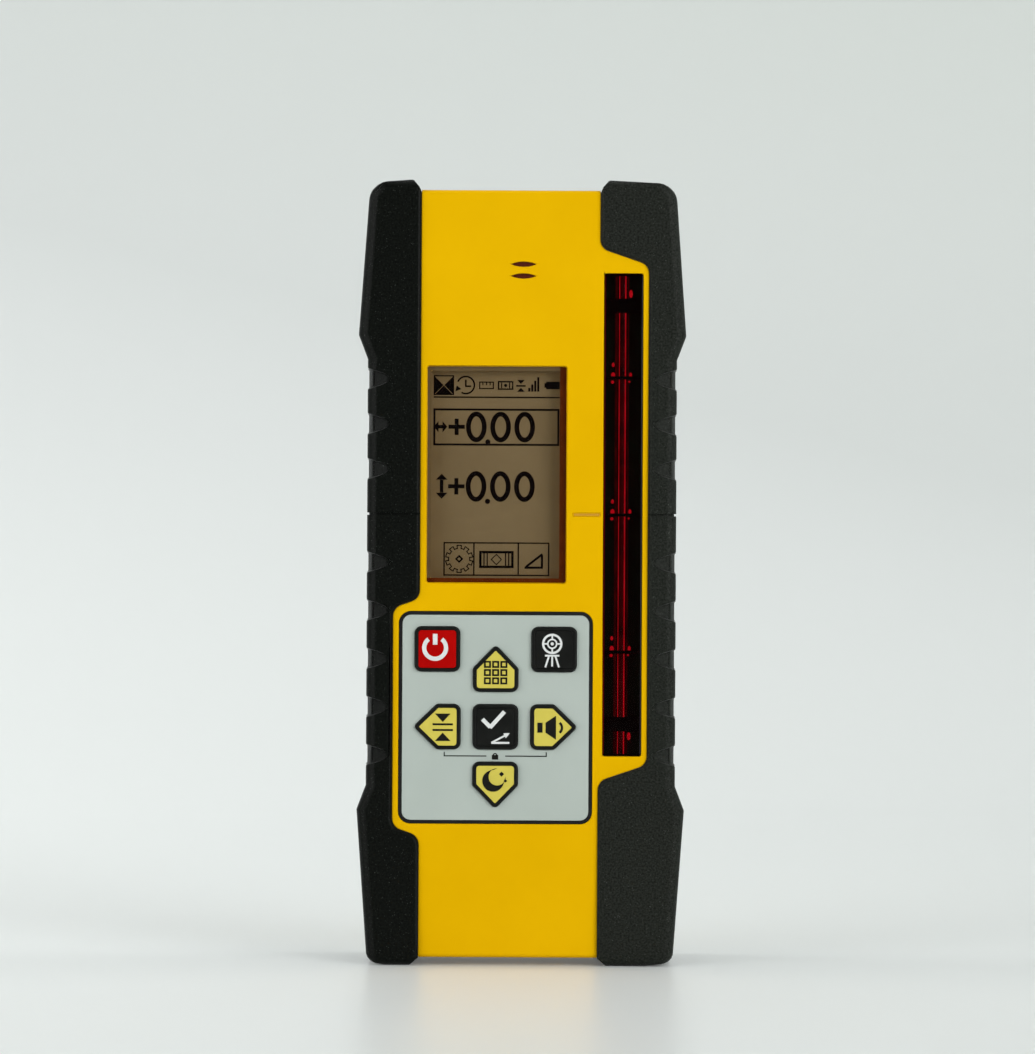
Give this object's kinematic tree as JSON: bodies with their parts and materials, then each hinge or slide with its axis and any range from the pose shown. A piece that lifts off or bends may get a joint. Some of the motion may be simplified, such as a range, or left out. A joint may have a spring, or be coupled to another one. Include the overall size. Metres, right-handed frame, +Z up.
{
  "type": "laser receiver",
  "caption": "Handheld rotating-laser receiver with a tall red window, a display, a sprung keypad, rubber grip bumpers, a hinged battery door and a bracket seat on the back.",
  "frame": {"origin": "middle of the feet, on the surface that the receiver stands on", "axes": "+Z up along the tall window, front and display facing -Y, +X to the right of a person who reads the display"},
  "size_m": [0.082, 0.033, 0.1966],
  "materials": {
    "yellow_plastic": "fine matte texture",
    "bumper_rubber": "fine grained",
    "key_black": "satin",
    "key_yellow": "satin",
    "key_red": "satin",
    "plate_grey": "satin",
    "mat_rubber": "matte",
    "clear_lens": "clear",
    "red_lens": "clear dark red",
    "lcd_glass": "reflective grey brown",
    "white_plastic": "matte",
    "black_plastic": "matte",
    "guide_acrylic": "clear red",
    "circuit_board": "solder mask",
    "seal_rubber": "matte",
    "steel": "plated",
    "brass": "turned",
    "flex_film": "film",
    "cell_wrap": "plain wrap"
  },
  "bodies": {
    "case": {"front_case": "yellow_plastic", "rear_case": "yellow_plastic", "case_seal": "seal_rubber", "left_bumper": "bumper_rubber", "right_bumper": "bumper_rubber", "case_screws": "steel", "display_window": "clear_lens", "display_gasket": "seal_rubber", "lcd_panel": "lcd_glass", "lcd_backlight": "white_plastic", "receiver_window": "red_lens", "sensor_holder": "black_plastic", "light_guides": "guide_acrylic", "sensor_board": "circuit_board", "photodiodes": "black_plastic", "sensor_flex": "flex_film", "keypad_faceplate": "plate_grey", "keypad_mat": "mat_rubber", "key_switches": "steel", "main_board": "circuit_board", "board_screws": "steel", "radio_module": "steel", "buzzer": "black_plastic", "buzzer_gasket": "seal_rubber", "door_hinge_pin": "steel", "door_seal": "seal_rubber", "batteries": "cell_wrap", "battery_bridge": "steel", "battery_terminals": "steel", "bracket_insert": "brass"},
    "power_key": {"power_key": "key_black", "power_key_cap": "key_red"},
    "page_key": {"page_key": "key_black", "page_key_cap": "key_black"},
    "up_key": {"up_key": "key_black", "up_key_cap": "key_yellow"},
    "left_key": {"left_key": "key_black", "left_key_cap": "key_yellow"},
    "ok_key": {"ok_key": "key_black", "ok_key_cap": "key_black"},
    "right_key": {"right_key": "key_black", "right_key_cap": "key_yellow"},
    "down_key": {"down_key": "key_black", "down_key_cap": "key_yellow"},
    "door": {"battery_door": "yellow_plastic"},
    "latch": {"door_latch": "black_plastic"}
  },
  "joints": [
    {"name": "power_key_press", "type": "slide", "parent": "case", "child": "power_key", "axis": [0, 1, 0], "range_m": [0, 0.0008], "stiffness_N_per_m": 2500},
    {"name": "page_key_press", "type": "slide", "parent": "case", "child": "page_key", "axis": [0, 1, 0], "range_m": [0, 0.0008], "stiffness_N_per_m": 2500},
    {"name": "up_key_press", "type": "slide", "parent": "case", "child": "up_key", "axis": [0, 1, 0], "range_m": [0, 0.0008], "stiffness_N_per_m": 2500},
    {"name": "left_key_press", "type": "slide", "parent": "case", "child": "left_key", "axis": [0, 1, 0], "range_m": [0, 0.0008], "stiffness_N_per_m": 2500},
    {"name": "ok_key_press", "type": "slide", "parent": "case", "child": "ok_key", "axis": [0, 1, 0], "range_m": [0, 0.0008], "stiffness_N_per_m": 2500},
    {"name": "right_key_press", "type": "slide", "parent": "case", "child": "right_key", "axis": [0, 1, 0], "range_m": [0, 0.0008], "stiffness_N_per_m": 2500},
    {"name": "down_key_press", "type": "slide", "parent": "case", "child": "down_key", "axis": [0, 1, 0], "range_m": [0, 0.0008], "stiffness_N_per_m": 2500},
    {"name": "door_hinge", "type": "hinge", "parent": "case", "child": "door", "pos_m": [-0.003, 0.0135, 0.0074], "axis": [-1, 0, 0], "range_deg": [0, 90]},
    {"name": "latch_slide", "type": "slide", "parent": "door", "child": "latch", "axis": [1, 0, 0], "range_m": [0, 0.004]}
  ]
}
